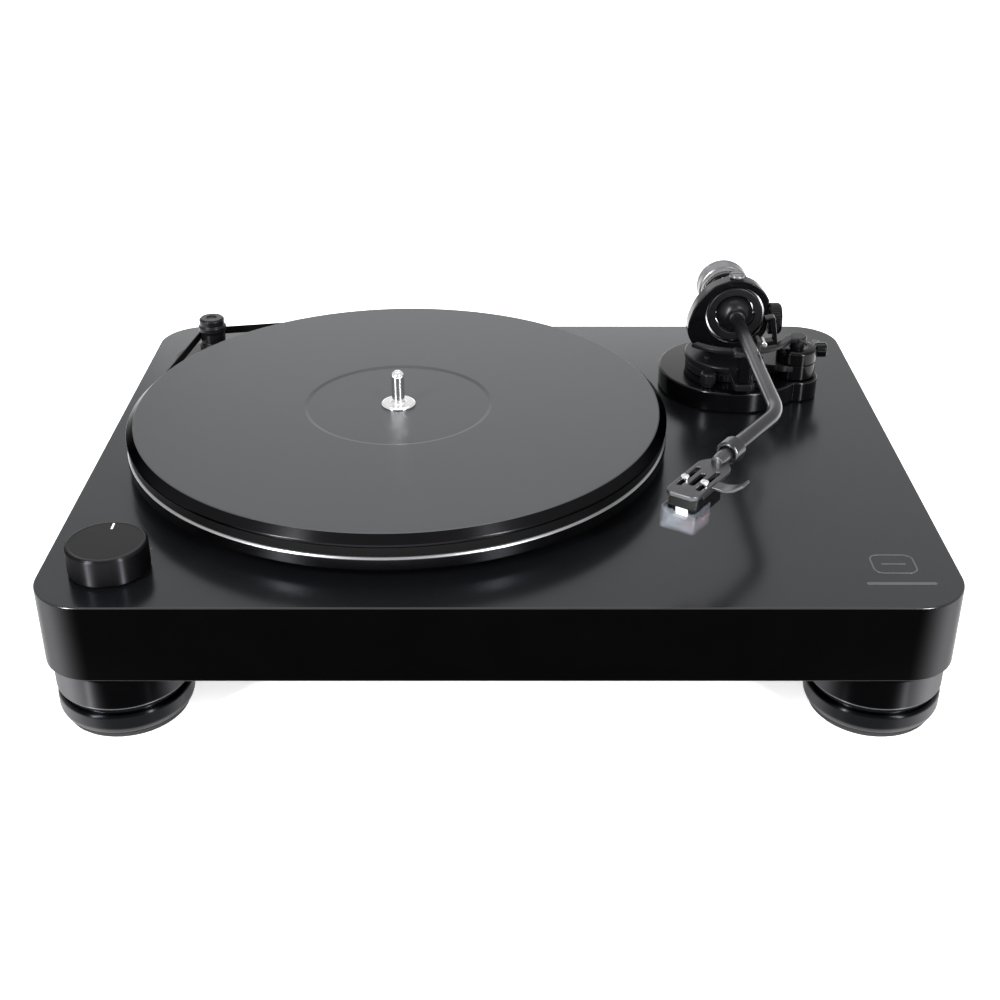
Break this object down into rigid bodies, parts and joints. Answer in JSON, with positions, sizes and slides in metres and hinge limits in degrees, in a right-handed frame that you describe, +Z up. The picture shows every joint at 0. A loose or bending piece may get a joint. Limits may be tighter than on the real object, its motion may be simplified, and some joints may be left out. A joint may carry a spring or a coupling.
{
  "type": "belt-drive record player",
  "caption": "Belt-drive record player: thick rectangular plinth on round feet, flat platter with a rim belt from a corner pulley, speed knob and bent pick-up arm with counterweight.",
  "frame": {"origin": "on the floor, under the middle of the plinth, in the plane of the foot pads", "axes": "+X to the user's right along the long side, +Y to the rear where the terminals are, +Z up"},
  "size_m": [0.45, 0.352, 0.1525],
  "materials": {
    "plinth_finish": "black satin lacquer on fibreboard",
    "platter_plastic": "fine matt dark grey",
    "gloss_black": "glossy black",
    "black_plastic": "satin black",
    "rubber": "matt black",
    "brass_bearing": "machined",
    "gold_plate": "polished plating",
    "steel": "machined bright",
    "grey_metal": "satin gunmetal",
    "dark_metal": "black anodised",
    "clear_plastic": "clear, bluish",
    "board": "green board"
  },
  "bodies": {
    "chassis": {"plinth": "plinth_finish", "bottom_cover": "black_plastic", "cover_screw_fl": "steel", "cover_screw_fr": "steel", "cover_screw_rl": "steel", "cover_screw_rr": "steel", "bearing_housing": "brass_bearing", "thrust_ball": "steel", "drive_belt": "rubber", "motor_body": "steel", "motor_plate": "black_plastic", "speed_switch": "black_plastic", "circuit_board": "board", "terminal_panel": "black_plastic", "signal_jack_left": "gold_plate", "signal_jack_right": "gold_plate", "ground_post": "steel", "power_inlet": "black_plastic", "arm_base": "gloss_black"},
    "foot_fl": {"foot_cap_fl": "gloss_black", "foot_base_fl": "gloss_black", "foot_pad_fl": "rubber"},
    "foot_fr": {"foot_cap_fr": "gloss_black", "foot_base_fr": "gloss_black", "foot_pad_fr": "rubber"},
    "foot_rl": {"foot_cap_rl": "gloss_black", "foot_base_rl": "gloss_black", "foot_pad_rl": "rubber"},
    "foot_rr": {"foot_cap_rr": "gloss_black", "foot_base_rr": "gloss_black", "foot_pad_rr": "rubber"},
    "platter": {"platter": "platter_plastic", "spindle": "steel"},
    "pulley": {"motor_pulley": "dark_metal", "motor_shaft": "steel"},
    "speed_knob": {"speed_knob": "gloss_black"},
    "ground_nut": {"ground_nut": "steel"},
    "output_slider": {"output_slider": "black_plastic"},
    "height_ring": {"height_ring": "dark_metal"},
    "height_lock": {"height_lock_knob": "dark_metal"},
    "column": {"arm_column": "dark_metal", "gimbal_frame": "dark_metal", "pivot_screw": "steel", "cue_housing": "gloss_black", "arm_rest": "black_plastic"},
    "antiskate_dial": {"antiskate_dial": "black_plastic"},
    "cue_lever": {"cue_lever": "black_plastic"},
    "cue_lifter": {"cue_lifter": "dark_metal"},
    "rest_clip": {"rest_clip": "black_plastic"},
    "yaw_ring": {"gimbal_ring": "dark_metal"},
    "arm": {"arm_tube": "grey_metal", "headshell": "grey_metal", "finger_lift": "grey_metal", "cartridge_body": "black_plastic", "stylus_unit": "black_plastic", "counterweight_stub": "steel"},
    "headshell_collar": {"headshell_collar": "dark_metal"},
    "stylus_guard": {"stylus_guard": "clear_plastic"},
    "force_dial": {"force_dial": "black_plastic"},
    "counterweight": {"counterweight": "steel"}
  },
  "joints": [
    {"name": "platter_spin", "type": "hinge", "parent": "chassis", "child": "platter", "pos_m": [-0.057, 0, 0.09], "axis": [0, 0, 1], "continuous": true},
    {"name": "pulley_spin", "type": "hinge", "parent": "chassis", "child": "pulley", "pos_m": [-0.184, 0.121, 0.09], "axis": [0, 0, 1], "continuous": true},
    {"name": "speed_turn", "type": "hinge", "parent": "chassis", "child": "speed_knob", "pos_m": [-0.1905, -0.14, 0.09], "axis": [0, 0, 1], "range_deg": [-40, 40]},
    {"name": "foot_level_fl", "type": "slide", "parent": "chassis", "child": "foot_fl", "axis": [0, 0, -1], "range_m": [0, 0.005]},
    {"name": "foot_level_fr", "type": "slide", "parent": "chassis", "child": "foot_fr", "axis": [0, 0, -1], "range_m": [0, 0.005]},
    {"name": "foot_level_rl", "type": "slide", "parent": "chassis", "child": "foot_rl", "axis": [0, 0, -1], "range_m": [0, 0.005]},
    {"name": "foot_level_rr", "type": "slide", "parent": "chassis", "child": "foot_rr", "axis": [0, 0, -1], "range_m": [0, 0.005]},
    {"name": "ground_nut_turn", "type": "hinge", "parent": "chassis", "child": "ground_nut", "pos_m": [0.09, 0.17, 0.053], "axis": [0, 1, 0], "range_deg": [0, 720]},
    {"name": "output_select", "type": "slide", "parent": "chassis", "child": "output_slider", "axis": [1, 0, 0], "range_m": [-0.0022, 0.0022]},
    {"name": "height_turn", "type": "hinge", "parent": "chassis", "child": "height_ring", "pos_m": [0.1425, 0.079, 0.095], "axis": [0, 0, 1], "range_deg": [0, 90]},
    {"name": "column_lift", "type": "slide", "parent": "chassis", "child": "column", "axis": [0, 0, 1], "range_m": [0, 0.006]},
    {"name": "height_lock_turn", "type": "hinge", "parent": "chassis", "child": "height_lock", "pos_m": [0.125, 0.0475, 0.097], "axis": [0, 0, 1], "range_deg": [0, 90]},
    {"name": "antiskate_turn", "type": "hinge", "parent": "column", "child": "antiskate_dial", "pos_m": [0.1665, 0.0762, 0.125], "axis": [1, 0, 0], "range_deg": [0, 180]},
    {"name": "cue_turn", "type": "hinge", "parent": "column", "child": "cue_lever", "pos_m": [0.195, 0.07, 0.1072], "axis": [1, 0, 0], "range_deg": [0, 50]},
    {"name": "cue_lift", "type": "slide", "parent": "column", "child": "cue_lifter", "axis": [0, 0, 1], "range_m": [0, 0.005]},
    {"name": "rest_clip_turn", "type": "hinge", "parent": "column", "child": "rest_clip", "pos_m": [0.1529, 0.03301, 0.1272], "axis": [0, -1, 0], "range_deg": [0, 80]},
    {"name": "arm_swing", "type": "hinge", "parent": "column", "child": "yaw_ring", "pos_m": [0.1425, 0.079, 0.128], "axis": [0, 0, -1], "range_deg": [0, 42]},
    {"name": "arm_lift", "type": "hinge", "parent": "yaw_ring", "child": "arm", "pos_m": [0.1425, 0.079, 0.128], "axis": [-1, 0, 0], "range_deg": [-1, 12]},
    {"name": "collar_turn", "type": "hinge", "parent": "arm", "child": "headshell_collar", "pos_m": [0.11439, -0.10748, 0.128], "axis": [-0.5664, -0.8241, 0], "range_deg": [0, 60]},
    {"name": "guard_slide", "type": "slide", "parent": "arm", "child": "stylus_guard", "axis": [-0.5664, -0.8241, 0], "range_m": [0, 0.012]},
    {"name": "weight_travel", "type": "slide", "parent": "arm", "child": "force_dial", "axis": [-0.0175, 0.9998, 0], "range_m": [-0.002, 0.006]},
    {"name": "weight_turn", "type": "hinge", "parent": "force_dial", "child": "counterweight", "pos_m": [0.1418, 0.11899, 0.128], "axis": [-0.0175, 0.9998, 0], "range_deg": [-360, 1080]}
  ],
  "couplings": [
    {"joint": "pulley_spin", "follows": "platter_spin", "ratio": 18.9},
    {"joint": "height_turn", "follows": "column_lift", "rad_per_m": 261.8},
    {"joint": "cue_turn", "follows": "cue_lift", "rad_per_m": 174.53},
    {"joint": "weight_turn", "follows": "weight_travel", "rad_per_m": 3141.6}
  ]
}
